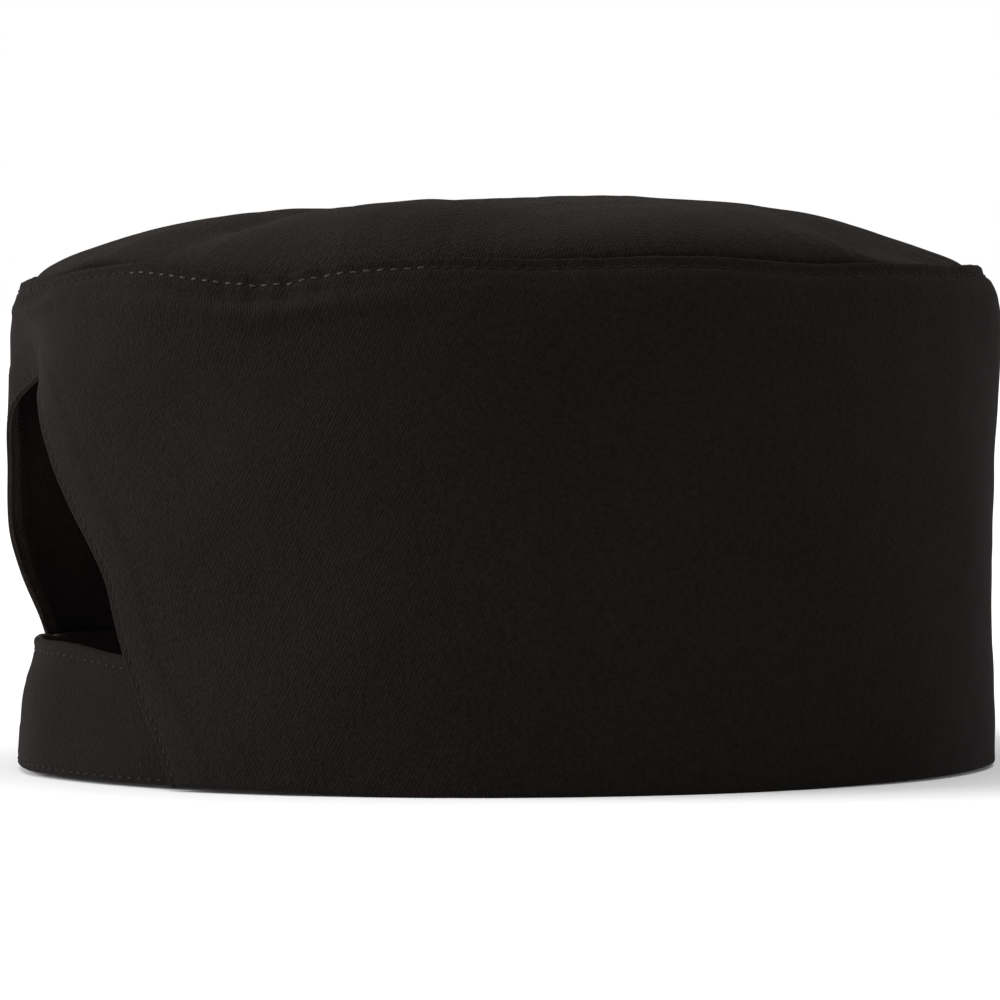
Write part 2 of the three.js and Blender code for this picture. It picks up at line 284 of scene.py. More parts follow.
def read_table(rows: tuple[tuple[float, float], ...], at: np.ndarray) -> np.ndarray:
    """Reads a table on a smooth curve through its rows.

    Args:
        rows: pairs of a rising key and a value.
        at: keys to read the table at.

    Returns:
        The values there, held level beyond the first and last rows.
    """
    keys, values = np.array(rows, dtype=float).T
    before = np.maximum(np.arange(len(keys)) - 1, 0)
    after = np.minimum(np.arange(len(keys)) + 1, len(keys) - 1)
    slopes = (values[after] - values[before]) / (keys[after] - keys[before])
    place = np.clip(at, keys[0], keys[-1])
    high = np.clip(np.searchsorted(keys, place, side="left"), 1, len(keys) - 1)
    low = high - 1
    span = keys[high] - keys[low]
    q = (place - keys[low]) / span
    kept = (1 + 2 * q) * (1 - q) ** 2 * values[low] + q * q * (3 - 2 * q) * values[high]
    bent = q * (1 - q) ** 2 * span * slopes[low] + q * q * (q - 1) * span * slopes[high]
    return kept + bent


def graded(length: float, first: float, last: float, largest: float, growth: float = 0.16) -> np.ndarray:
    """Places from 0 to 1 whose steps grow away from both ends.

    Args:
        length: real length that the places divide.
        first: size of the first step.
        last: size of the last step.
        largest: size that no step passes.
        growth: how fast a step grows with the distance from its end.

    Returns:
        Rising shares of the length, with 0 and 1 among them.
    """
    places = [0.0]
    while places[-1] < length:
        gone = places[-1]
        left = length - gone
        places.append(gone + min(largest, first + gone * growth, last + left * growth))
    return np.array(places) / places[-1]


def unit(vectors: np.ndarray) -> np.ndarray:
    """The vectors at a length of one."""
    return vectors / np.linalg.norm(vectors, axis=-1, keepdims=True)


class Ripple:
    """Smooth repeatable unevenness: a sum of waves in fixed directions."""

    def __init__(self, seed: int, shortest: float, longest: float, waves: int = 14) -> None:
        """Draws the waves.

        Args:
            seed: which set of waves to draw.
            shortest: length of the shortest wave in millimetres.
            longest: length of the longest.
            waves: how many are summed.
        """
        draw = np.random.default_rng(seed)
        lengths = np.exp(draw.uniform(math.log(shortest), math.log(longest), waves))
        self.ways = unit(draw.normal(size=(waves, 3))) * (2 * math.pi / lengths)[:, None]
        self.starts = draw.uniform(0, 2 * math.pi, waves)
        self.share = math.sqrt(2.0 / waves)

    def at(self, points: np.ndarray) -> np.ndarray:
        """The unevenness at points, about -1 to 1."""
        total = np.zeros(points.shape[:-1])
        for way, start in zip(self.ways, self.starts):
            total += np.sin(points @ way + start)
        return self.share * total


class Pucker:
    """Gathers along a seam that closes on itself: waves that fit round it a whole number of times."""

    def __init__(self, seed: int, fewest: int, most: int, waves: int = 12) -> None:
        """Draws the waves.

        Args:
            seed: which set of waves to draw.
            fewest: waves round the seam of the longest gather.
            most: waves round it of the shortest.
            waves: how many are summed.
        """
        draw = np.random.default_rng(seed)
        self.counts = draw.integers(fewest, most, waves)
        self.starts = draw.uniform(0, 2 * math.pi, waves)
        self.share = math.sqrt(2.0 / waves)

    def at(self, round_share: np.ndarray) -> np.ndarray:
        """The gathers at shares of the way round, about -1 to 1."""
        total = np.zeros(np.shape(round_share))
        for count, start in zip(self.counts, self.starts):
            total += np.sin(2 * math.pi * count * round_share + start)
        return self.share * total


@dataclass(frozen=True)
class CapForm:
    """The form of the whole cap: the sizes of the CAD solids, in millimetres."""

    rim_length: float = 195.4
    rim_width: float = 168.0
    oval_power: float = 2.08
    band_height: float = 100.0
    crown_rise: float = 11.4
    crown_lean: float = 1.6
    hollow_power: float = 2.5
    roll_power: float = 40.0
    roll_puff: float = 0.12
    band_wall: float = 1.6
    piece_gap: float = 0.3
    shoulder_height: float = 11.5
    shoulder_pull: float = 7.5
    shoulder_share: float = 0.93
    seam_drop: float = 5.2
    seam_allowance: float = 8.0
    opening_height: float = 77.0
    opening_width: float = 102.0
    edge_hang: Bell = Bell(at=60.0, reach=14.0, height=0.13)
    level_rim: float = 0.03
    cloth_dent: float = 6.0
    crease_width: float = 7.0

    @property
    def half(self) -> np.ndarray:
        """Half length and half width of the rim."""
        return np.array([self.rim_length / 2, self.rim_width / 2])

    def oval(self, turn: np.ndarray) -> np.ndarray:
        """The rim's oval at turns."""
        way = np.stack([np.cos(np.radians(turn)), np.sin(np.radians(turn))], axis=-1)
        return self.half * np.sign(way) * np.abs(way) ** (2 / self.oval_power)

    def oval_outward(self, turn: np.ndarray) -> np.ndarray:
        """Level direction out of the rim's oval at turns."""
        step = self.oval(turn + SMALL_STEP) - self.oval(turn - SMALL_STEP)
        return unit(np.stack([step[..., 1], -step[..., 0]], axis=-1))

    def seam_height(self, turn: np.ndarray) -> np.ndarray:
        """Height of the crown seam at turns."""
        return self.band_height - self.seam_drop * read_table(SEAM_LINE, turn_between(0, turn))

    def shoulder(self, below_seam: np.ndarray) -> np.ndarray:
        """How far the shoulder draws the wall in at heights below the seam."""
        share = self.shoulder_share * np.maximum(0.0, 1 - below_seam / self.shoulder_height)
        return self.shoulder_pull * (1 - np.sqrt(1 - share * share))

    def band_face(self, turn: np.ndarray, level: np.ndarray) -> np.ndarray:
        """Outer face of the band's cloth.

        Args:
            turn: turns round the cap.
            level: shares of the height from the rim to the seam.

        Returns:
            Points in millimetres, before the cap is set over the origin.
        """
        seam = self.seam_height(turn)
        height = level * seam
        pull = self.shoulder(seam - height)
        for dent in BAND_DENTS:
            aside = turn_between(dent.turn, turn) / dent.spread
            above = (height / self.band_height - dent.up) / dent.reach
            pull = pull + self.cloth_dent * dent.pull * hump(aside) * hump(above)
        plan = self.oval(turn) - self.oval_outward(turn) * pull[..., None]
        return np.concatenate([plan, height[..., None]], axis=-1)

    def band_outward(self, turn: np.ndarray, level: np.ndarray) -> np.ndarray:
        """Direction out of the band's cloth, level along the rim so that the rim stays flat."""
        ahead = self.band_face(turn + SMALL_STEP, level) - self.band_face(turn - SMALL_STEP, level)
        above = self.band_face(turn, level + SMALL_STEP) - self.band_face(turn, level - SMALL_STEP)
        out = unit(np.cross(ahead, above))
        out[..., 2] *= smooth_step(level, 0.0, self.level_rim)
        return unit(out)

    def turn_off_back(self, sideways: np.ndarray) -> np.ndarray:
        """Turn from the middle of the back at which the oval is a given distance to one side."""
        share = np.clip(np.asarray(sideways) / self.half[1], 0.0, 1.0)
        return np.degrees(np.arcsin(share ** (self.oval_power / 2)))

    def edge_turn(self, height: np.ndarray, side: int = 1) -> np.ndarray:
        """Turn of the opening's edge at heights, 180 above the apex.

        Args:
            height: heights over the rim.
            side: -1 for the wearer's right, where the edge hangs a little further in, 1 for the left.

        Returns:
            Turns without their sign.
        """
        half = read_table(OPENING_EDGE, np.asarray(height) / self.opening_height)
        if side < 0:
            half = half * (1 - self.edge_hang.over(height))
        edge = BACK - self.turn_off_back(half * self.opening_width / 2)
        return np.where(np.asarray(height) >= self.opening_height, BACK, edge)

    def crown_seam(self, turn: np.ndarray, depth: float) -> np.ndarray:
        """The ring where the crown leaves the band, at a depth inside the band's face."""
        level = np.ones_like(turn)
        return self.band_face(turn, level) - depth * self.band_outward(turn, level)


FORM = CapForm()


class RimRuler:
    """Lengths measured round the rim, from the front."""

    def __init__(self, form: CapForm) -> None:
        """Measures the form's oval."""
        self.turns = np.linspace(-BACK, BACK, RULER_MARKS)
        steps = np.linalg.norm(np.diff(form.oval(self.turns), axis=0), axis=1)
        lengths = np.concatenate([[0.0], np.cumsum(steps)])
        self.round = float(lengths[-1])
        self.lengths = lengths - self.round / 2

    def length_at(self, turn: np.ndarray) -> np.ndarray:
        """Length round the rim from the front to a turn, negative towards the wearer's right."""
        return np.interp(turn, self.turns, self.lengths)

    def turn_at(self, length: np.ndarray) -> np.ndarray:
        """The turn at a length round the rim from the front."""
        return np.interp(length, self.lengths, self.turns)


RULER = RimRuler(FORM)


def frame_offset() -> np.ndarray:
    """How far the cap was set along X to stand over the origin, in millimetres."""
    _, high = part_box("side_band")
    turns = np.linspace(-BACK, BACK, 721)
    levels = np.linspace(0, 1, 60)
    faces = FORM.band_face(turns[:, None], levels[None, :])
    return np.array([high[0] / MM - float(faces[..., 0].max()), 0.0, 0.0])


OFFSET = frame_offset()


def place(points: np.ndarray) -> np.ndarray:
    """Points in millimetres as points of the part's frame in metres."""
    return (points + OFFSET) * MM


def new_piece(name: str, shape: bmesh.types.BMesh) -> bpy.types.Object:
    """Makes an object at the origin from a finished shape.

    Args:
        name: the piece's name.
        shape: its mesh in metres, which is freed.

    Returns:
        The object, shaded smooth.
    """
    mesh = bpy.data.meshes.new(name)
    shape.to_mesh(mesh)
    shape.free()
    for polygon in mesh.polygons:
        polygon.use_smooth = True
    piece = bpy.data.objects.new(name, mesh)
    bpy.context.scene.collection.objects.link(piece)
    return piece


def cloth_grid(columns: int, rows: int, points: np.ndarray, flat: np.ndarray) -> bmesh.types.BMesh:
    """A grid of cloth moved to its place, with what meets welded.

    Args:
        columns: steps along the cloth.
        rows: steps across it.
        points: place of each corner in millimetres, [row, column, xyz].
        flat: place of each corner on the flat cloth in millimetres, [row, column, uv].

    Returns:
        The shape in metres, with the flat cloth as its UV map.
    """
    shape = bmesh.new()
    layer = shape.loops.layers.uv.new(UV_NAME)
    bmesh.ops.create_grid(shape, x_segments=columns, y_segments=rows, size=1.0)
    where: dict[bmesh.types.BMVert, tuple[int, int]] = {}
    for vert in shape.verts:
        column = round((vert.co.x + 1) / 2 * columns)
        row = round((vert.co.y + 1) / 2 * rows)
        where[vert] = (row, column)
    placed = place(points)
    cloth = flat * MM
    for face in shape.faces:
        for loop in face.loops:
            loop[layer].uv = cloth[where[loop.vert]]
    for vert, corner in where.items():
        vert.co = placed[corner]
    bmesh.ops.remove_doubles(shape, verts=shape.verts, dist=MM * WELD)
    return shape


def folded_cloth(
    name: str, inner: np.ndarray, outer: np.ndarray, across: np.ndarray, up: np.ndarray
) -> bpy.types.Object:
    """Makes doubled cloth from one grid, from its inner top, round its lower edge, to its outer top.

    Args:
        name: the piece's name.
        inner: corners of the inner face in millimetres, [row, column, xyz], from the lower edge up.
        outer: corners of the outer face, in the same order.
        across: place of each corner along the flat cloth.
        up: place of each corner up the flat cloth, which an inner face has below zero.

    Returns:
        The piece.
    """
    points = np.concatenate([inner[::-1], outer[1:]])
    outer_flat = np.stack([across, up], axis=-1)
    inner_flat = np.stack([across, -up], axis=-1)
    flat = np.concatenate([inner_flat[::-1], outer_flat[1:]])
    return new_piece(name, cloth_grid(points.shape[1] - 1, points.shape[0] - 1, points, flat))


@dataclass(frozen=True)
class Thread:
    """A lockstitch as it shows on the cloth, in millimetres, and the faces round and along it."""

    pitch: float = 2.5
    length: float = 1.45
    width: float = 0.52
    height: float = 0.42
    proud: float = 0.05
    sides: int = 6
    rings: int = 5


def lay_stitches(shape: bmesh.types.BMesh, points: np.ndarray, outward: np.ndarray, thread: Thread) -> int:
    """Lays a run of stitches along a line on the cloth.

    Args:
        shape: mesh in metres that takes the stitches.
        points: the line in millimetres, closely spaced.
        outward: direction out of the cloth at each point.
        thread: the stitch's sizes.

    Returns:
        How many stitches were laid.
    """
    steps = np.linalg.norm(np.diff(points, axis=0), axis=1)
    lengths = np.concatenate([[0.0], np.cumsum(steps)])
    count = int(lengths[-1] / thread.pitch)
    middles = (np.arange(count) + 0.5) * lengths[-1] / count
    for middle in middles:
        ends = [
            np.array([np.interp(middle + aside, lengths, points[:, axis]) for axis in range(3)])
            for aside in (-thread.length / 2, thread.length / 2)
        ]
        out = unit(np.array([np.interp(middle, lengths, outward[:, axis]) for axis in range(3)]))
        along = unit(ends[1] - ends[0])
        across = unit(np.cross(out, along))
        up = np.cross(along, across)
        centre = place((ends[0] + ends[1]) / 2 + up * thread.proud)
        turned = Matrix(
            (
                (*(across * thread.width / 2 * MM), 0.0),
                (*(up * thread.height / 2 * MM), 0.0),
                (*(along * thread.length / 2 * MM), 0.0),
                (0.0, 0.0, 0.0, 1.0),
            )
        ).transposed()
        turned.translation = Vector(centre)
        bmesh.ops.create_uvsphere(
            shape, u_segments=thread.sides, v_segments=thread.rings, radius=1.0, matrix=turned
        )
    return count


@dataclass(frozen=True)
class TwillFinish:
    """Matt black cotton twill: fine diagonal wales over a softly mottled colour."""

    name: str
    colour: tuple[float, float, float]
    wale_way: float = -67.0
    wale_pitch: float = 0.55
    wale_depth: float = 0.15
    wale_swing: float = 0.24
    float_slant: float = 0.55
    float_swing: float = 0.16
    jitter: Grain = Grain(scale=420.0, detail=2.0, weight=7.0)
    slub: Grain = Grain(scale=1300.0, detail=1.0, weight=1.9)
    roughness: float = 0.95
    sheen: float = 0.024
    sheen_roughness: float = 0.34
    sheen_tint: tuple[float, float, float] = (1.0, 0.87, 0.83)
    specular: float = 0.06
    mottle: float = 0.2
    blotch: Grain = Grain(scale=28.0, detail=3.0, weight=1.0)
    lint: Grain = Grain(scale=1100.0, detail=1.0, weight=2.2)
    # Painted shade in the weave: the colour's share in a hollow, and how much it rises towards a wale top.
    hollow_shade: float = 0.82
    wale_tone: float = 0.3
    # Painted light: how many times paler the inner face's colour is made, for light that reaches inside the
    # cap.
    inner_light_gain: float = 1.0

    def material(self) -> bpy.types.Material:
        """Builds the material on the piece's flat cloth map and its own coordinates."""
        made = bpy.data.materials.new(self.name)
        made.use_nodes = True
        made.diffuse_color = (*self.colour, 1.0)
        tree = NodeBench(made.node_tree)
        shader = tree.shader()
        shader.inputs["Roughness"].default_value = self.roughness
        shader.inputs["Specular IOR Level"].default_value = self.specular
        shader.inputs["Sheen Weight"].default_value = self.sheen
        shader.inputs["Sheen Roughness"].default_value = self.sheen_roughness
        shader.inputs["Sheen Tint"].default_value = (*self.sheen_tint, 1.0)
        flat = tree.add("ShaderNodeUVMap")
        flat.uv_map = UV_NAME
        wales = self.wale_height(tree, flat.outputs["UV"])
        tree.link(self.mottled_colour(tree, wales, flat.outputs["UV"]), shader.inputs["Base Color"])
        bump = tree.add("ShaderNodeBump")
        bump.inputs["Strength"].default_value = 1.0
        bump.inputs["Distance"].default_value = self.wale_depth * MM
        tree.link(wales, bump.inputs["Height"])
        tree.link(bump.outputs["Normal"], shader.inputs["Normal"])
        return made

    def wale_height(self, tree: "NodeBench", flat: bpy.types.NodeSocket) -> bpy.types.NodeSocket:
        """Height of the weave over the flat cloth.

        Args:
            tree: the material's nodes.
            flat: the flat cloth's map in metres.

        Returns:
            A socket that is high on a wale and low between two.
        """
        way = math.radians(self.wale_way)
        turn = 2 * math.pi / (self.wale_pitch * MM)
        across = (-math.sin(way) * turn, math.cos(way) * turn, 0.0)
        slant = turn * self.float_slant
        along = (math.cos(way) * slant, math.sin(way) * slant, 0.0)
        uneven = tree.noise(flat, self.jitter)
        shifted = tree.maths("MULTIPLY_ADD", uneven, self.jitter.weight, tree.dot(flat, across))
        wale = tree.maths("MULTIPLY_ADD", tree.maths("SINE", shifted), self.wale_swing, 0.5)
        half_turn = tree.maths("MULTIPLY", tree.dot(flat, across), 0.5)
        floats = tree.maths("SINE", tree.maths("ADD", tree.dot(flat, along), half_turn))
        floated = tree.maths("MULTIPLY_ADD", floats, self.float_swing, wale)
        return tree.maths("MULTIPLY_ADD", tree.noise(flat, self.slub), self.slub.weight, floated)

    def mottled_colour(
        self, tree: "NodeBench", wales: bpy.types.NodeSocket, flat: bpy.types.NodeSocket
    ) -> bpy.types.NodeSocket:
        """The cloth's colour, a little uneven, with painted shade between the wales and painted light on an
        inner face.

        Args:
            tree: the material's nodes.
            wales: height of the weave.
            flat: the flat cloth's map, which runs below zero on an inner face.

        Returns:
            A colour socket.
        """
        spot = tree.add("ShaderNodeTexCoord").outputs["Object"]
        blotch = tree.noise(spot, self.blotch)
        uneven = tree.maths("MULTIPLY_ADD", tree.noise(spot, self.lint), self.lint.weight, blotch)
        mean = self.blotch.weight + self.lint.weight
        tone = tree.maths("MULTIPLY_ADD", uneven, 2 * self.mottle, 1 - mean * self.mottle)
        # Painted shade: the colour is darker in the hollows between the wales.
        woven = tree.maths("MULTIPLY_ADD", wales, self.wale_tone, self.hollow_shade)
        shaded = tree.maths("MULTIPLY", tone, woven)
        # Painted light: the inner face's colour is raised to stand in for light that reaches inside the cap.
        inner = tree.maths("LESS_THAN", tree.dot(flat, (0.0, 1.0, 0.0)), -MM)
        painted_inner_light = tree.maths("MULTIPLY_ADD", inner, self.inner_light_gain - 1, 1.0)
        shaded = tree.maths("MULTIPLY", shaded, painted_inner_light)
        mixed = tree.add("ShaderNodeVectorMath")
        mixed.operation = "SCALE"
        mixed.inputs[0].default_value = self.colour
        tree.link(shaded, mixed.inputs["Scale"])
        return mixed.outputs["Vector"]


@dataclass(frozen=True)
class ThreadFinish:
    """Black sewing thread: dull in its plain copy; a glossier copy also has its colour made paler as a
    painted highlight.
    """

    name: str = "black_thread"
    colour: tuple[float, float, float] = (0.0098, 0.0082, 0.0076)
    roughness: float = 0.5
    specular: float = 0.06

    def material(self) -> bpy.types.Material:
        """Builds the plain thread material."""
        made = bpy.data.materials.new(self.name)
        made.use_nodes = True
        made.diffuse_color = (*self.colour, 1.0)
        shader = NodeBench(made.node_tree).shader()
        shader.inputs["Base Color"].default_value = (*self.colour, 1.0)
        shader.inputs["Roughness"].default_value = self.roughness
        shader.inputs["Specular IOR Level"].default_value = self.specular
        return made


class NodeBench:
    """Short ways to add and join the nodes of one material."""

    def __init__(self, tree: bpy.types.NodeTree) -> None:
        """Takes the material's node tree."""
        self.tree = tree

    def add(self, kind: str) -> bpy.types.Node:
        """Adds a node of a kind."""
        return self.tree.nodes.new(kind)

    def link(self, source: bpy.types.NodeSocket, target: bpy.types.NodeSocket) -> None:
        """Joins two sockets."""
        self.tree.links.new(source, target)

    def shader(self) -> bpy.types.Node:
        """The material's own Principled shader."""
        return next(node for node in self.tree.nodes if node.type == "BSDF_PRINCIPLED")

    def maths(self, operation: str, *values: float | bpy.types.NodeSocket) -> bpy.types.NodeSocket:
        """Adds a Math node.

        Args:
            operation: what it works out.
            values: its inputs, each a number or a socket.

        Returns:
            Its result.
        """
        node = self.add("ShaderNodeMath")
        node.operation = operation
        for slot, value in zip(node.inputs, values):
            if isinstance(value, (int, float)):
                slot.default_value = value
            else:
                self.link(value, slot)
        return node.outputs[0]

    def dot(self, vector: bpy.types.NodeSocket, way: tuple[float, float, float]) -> bpy.types.NodeSocket:
        """The product of a vector socket with a fixed direction."""
        node = self.add("ShaderNodeVectorMath")
        node.operation = "DOT_PRODUCT"
        node.inputs[1].default_value = way
        self.link(vector, node.inputs[0])
        return node.outputs["Value"]

    def noise(self, vector: bpy.types.NodeSocket, grain: Grain) -> bpy.types.NodeSocket:
        """Adds noise over a vector.

        Args:
            vector: coordinates in metres.
            grain: the noise's scale and detail.

        Returns:
            The noise's value, about 0 to 1.
        """
        node = self.add("ShaderNodeTexNoise")
        node.inputs["Scale"].default_value = grain.scale
        node.inputs["Detail"].default_value = grain.detail
        self.link(vector, node.inputs["Vector"])
        return node.outputs[0]


@dataclass
class SideBand:
    """The tall doubled band, folded at the rim and open at the back."""

    name: str = "band_cloth"
    wall: float = FORM.band_wall
    column_step: float = 1.5
    row_step: float = 1.7
    finest_step: float = 0.28
    seam_row_step: float = 0.25
    upper_growth: float = 0.07
    column_growth: float = 0.12
    edge_marks: int = 160
    marks_to_degree: int = 6
    ridge: Bell = Bell(at=0.45, reach=0.5, height=0.6)
    allowance_step: float = 0.3
    allowance_edge: tuple[float, float] = (5.6, 7.4)
    stitch_groove: Bell = Bell(at=1.9, reach=0.72, height=0.5)
    corner_reach: float = 15.0
    corner_folds: tuple[Bell, ...] = (
        Bell(at=1.4, reach=0.9, height=0.8),
        Bell(at=3.6, reach=0.9, height=-1.1),
        Bell(at=6.0, reach=1.6, height=0.8),
    )
    back_seam: tuple[Bell, ...] = (
        Bell(at=0.0, reach=0.6, height=-0.12),
        Bell(at=2.4, reach=1.4, height=0.06),
    )
    front_smooth: Bell = Bell(at=0.0, reach=28.0, height=0.6)
    dip: Bell = Bell(at=-135.0, reach=20.0, height=1.0)
    dip_rolls: tuple[Bell, ...] = (
        Bell(at=7.6, reach=1.8, height=1.7),
        Bell(at=4.4, reach=1.8, height=-0.85),
    )
    dip_pucker: float = 0.2
    pucker_depth: float = 0.05
    pucker_reach: float = 8.0
    rim_lift: float = 1.0
    lift_height: float = 24.0
    edge_thin: float = 1.1
    thin_edge: tuple[float, float] = (0.5, 4.0)
    hem_step: float = 0.28
    hem_edge: tuple[float, float] = (8.2, 9.8)
    inner_hem_height: tuple[float, float] = (28.0, 34.0)
    hem_groove: Bell = Bell(at=1.5, reach=0.6, height=0.22)
    hem_stitch_clear: tuple[float, float] = (0.6, 1.0)
    slack: float = 0.36
    quick_slack: float = 0.06

    def __post_init__(self) -> None:
        """Draws the cloth's unevenness and measures the opening's two edges."""
        self.slow = Ripple(seed=11, shortest=34.0, longest=80.0)
        self.quick = Ripple(seed=12, shortest=9.0, longest=24.0)
        self.pucker = Pucker(seed=13, fewest=70, most=170)
        self.apex_level = FORM.opening_height / float(FORM.seam_height(np.array(BACK)))
        self.edges = {side: self.opening_edge(side) for side in (-1, 1)}

    def opening_edge(self, side: int) -> np.ndarray:
        """One edge of the opening on the flat cloth.

        Args:
            side: -1 for the wearer's right, 1 for the left.

        Returns:
            Points [length from the middle of the back, height], from the rim to the apex.
        """
        levels = np.linspace(0.0, self.apex_level, self.edge_marks)
        turns = side * FORM.edge_turn(levels * FORM.seam_height(np.array(BACK)), side)
        aside = RULER.round / 2 - np.abs(RULER.length_at(turns))
        return np.stack([aside, levels * FORM.seam_height(turns)], axis=-1)

    def off_edge(self, turn: np.ndarray, height: np.ndarray) -> np.ndarray:
        """Distance on the flat cloth from the opening's edge."""
        aside = RULER.round / 2 - np.abs(RULER.length_at(turn))
        nearest = np.full(np.shape(turn), np.inf)
        for side, edge in self.edges.items():
            here = (turn < 0) == (side < 0)
            spots = np.stack([aside[here], height[here]], axis=-1)
            for start, end in zip(edge[:-1], edge[1:]):
                off, _ = off_line(spots, start, end)
                nearest[here] = np.minimum(nearest[here], off)
        return nearest

    def sway(self, turn: np.ndarray, below: np.ndarray, points: np.ndarray) -> np.ndarray:
        """How far the whole cloth stands out of its smooth form.

        Args:
            turn: turns of the points.
            below: their heights below the seam.
            points: the points on the smooth form.

        Returns:
            Millimetres outwards.
        """
        share = RULER.length_at(turn) / RULER.round
        dip = self.dip.over_turn(turn)
        gather = (self.pucker_depth + self.dip_pucker * dip) * self.pucker.at(share)
        gather = gather * hump(below / self.pucker_reach)
        slack = self.slack * self.slow.at(points) + self.quick_slack * self.quick.at(points)
        return slack + gather + dip * rises(self.dip_rolls, below)

    def relief(self, side: Side, turn: np.ndarray, below: np.ndarray, off: np.ndarray) -> np.ndarray:
        """How far one face stands off the plain thickness of the cloth.

        Args:
            side: which face.
            turn: turns of the points.
            below: their heights below the seam.
            off: their distance from the opening's edge.

        Returns:
            Millimetres out of the cloth on that face.
        """
        height = FORM.band_height - below
        hem = self.hem_step * (1 - smooth_step(off, *self.hem_edge))
        if side is Side.INNER:
            return hem * smooth_step(height, *self.inner_hem_height)
        aside = RULER.round / 2 - np.abs(RULER.length_at(turn))
        seam = self.ridge.over(below) + self.allowance_step * (1 - smooth_step(below, *self.allowance_edge))
        seam = seam * (1 - self.front_smooth.over_turn(turn))
        folds = hump(aside / self.corner_reach) * rises(self.corner_folds, below)
        folds = folds + rises(self.back_seam, aside)
        grooves = self.stitch_groove.over(below) + self.hem_groove.over(off)
        creases = sum(crease.depth_at(aside, height, turn) for crease in BAND_CREASES)
        return seam + hem + folds - grooves - creases

    def face(self, side: Side, turn: np.ndarray, level: np.ndarray) -> tuple[np.ndarray, np.ndarray]:
        """One face of the cloth.

        Args:
            side: which face.
            turn: turns round the cap.
            level: shares of the height from the rim to the seam.

        Returns:
            Points in millimetres and the directions out of the band there.
        """
        smooth = FORM.band_face(turn, level)
        out = FORM.band_outward(turn, level)
        height = smooth[..., 2]
        below = FORM.seam_height(turn) - height
        off = self.off_edge(turn, height)
        wall = self.wall - self.edge_thin * (1 - smooth_step(off, *self.thin_edge))
        share, rounding = rounded_edge(np.minimum(np.minimum(height, below), off), wall)
        relief = self.relief(side, turn, below, off) * (1 - share)
        depth = rounding - relief if side is Side.OUTER else wall - rounding + relief
        face = smooth + out * (self.sway(turn, below, smooth) - depth)[..., None]
        wave = read_table(RIM_LIFT, turn_between(0, turn))
        face[..., 2] += self.rim_lift * wave * (1 - smooth_step(height, 0.0, self.lift_height))
        return face, out

    def grid(self) -> tuple[np.ndarray, np.ndarray]:
        """Turns and levels of one face's corners, [row, column]."""
        back_seam = float(FORM.seam_height(np.array(BACK)))
        above = back_seam - FORM.opening_height
        step = self.finest_step
        lower = graded(FORM.opening_height, step, step, self.row_step)
        upper = graded(above, step, self.seam_row_step, self.row_step, self.upper_growth)[1:]
        levels = np.concatenate([lower * self.apex_level, self.apex_level + upper * (1 - self.apex_level)])
        half = graded(RULER.round / 2, self.column_step, step, self.column_step, self.column_growth)
        shares = np.concatenate([-half[:0:-1], half])
        ends = {side: FORM.edge_turn(levels * back_seam, side) for side in (-1, 1)}
        for end in ends.values():
            end[levels >= self.apex_level - SMALL_STEP] = BACK
        turns = np.where(shares < 0, ends[-1][:, None], ends[1][:, None]) * shares
        return turns, np.repeat(levels[:, None], len(shares), axis=1)

    def build(self) -> bpy.types.Object:
        """Makes the band, folded at the rim."""
        turns, levels = self.grid()
        inner, _ = self.face(Side.INNER, turns, levels)
        outer, _ = self.face(Side.OUTER, turns, levels)
        climb = np.linalg.norm(np.diff(FORM.band_face(turns, levels), axis=0), axis=-1)
        up = np.concatenate([np.zeros((1, climb.shape[1])), np.cumsum(climb, axis=0)])
        return folded_cloth(self.name, inner, outer, RULER.length_at(turns), up)

    def seam_stitches(self, start: float, end: float) -> tuple[np.ndarray, np.ndarray]:
        """A part of the line of stitching below the crown seam.

        Args:
            start: turn at which it starts.
            end: turn at which it ends.

        Returns:
            Its points and the directions out of the cloth there.
        """
        turns = np.linspace(start, end, round(self.marks_to_degree * (end - start)))
        return self.line_at(turns, 1 - self.stitch_groove.at / FORM.seam_height(turns))

    def stitch_lines(self) -> list[tuple[np.ndarray, np.ndarray]]:
        """The band's plain lines of stitching: along the crown seam and the opening's edges."""
        lines = [self.seam_stitches(-BACK, HIGHLIT_STITCHES[0]), self.seam_stitches(HIGHLIT_STITCHES[1], BACK)]
        for side, edge in self.edges.items():
            way = unit(np.gradient(edge, axis=0))
            shifted = edge + self.hem_groove.at * np.stack([way[:, 1], -way[:, 0]], axis=-1)
            kept = shifted[(shifted > self.hem_stitch_clear).all(axis=1)]
            edge_turns = side * RULER.turn_at(RULER.round / 2 - kept[:, 0])
            lines.append(self.line_at(edge_turns, kept[:, 1] / FORM.seam_height(edge_turns)))
        return lines

    def line_at(self, turns: np.ndarray, levels: np.ndarray) -> tuple[np.ndarray, np.ndarray]:
        """Points of the outer face along a line, with the directions out of the cloth there."""
        return self.face(Side.OUTER, turns, levels)


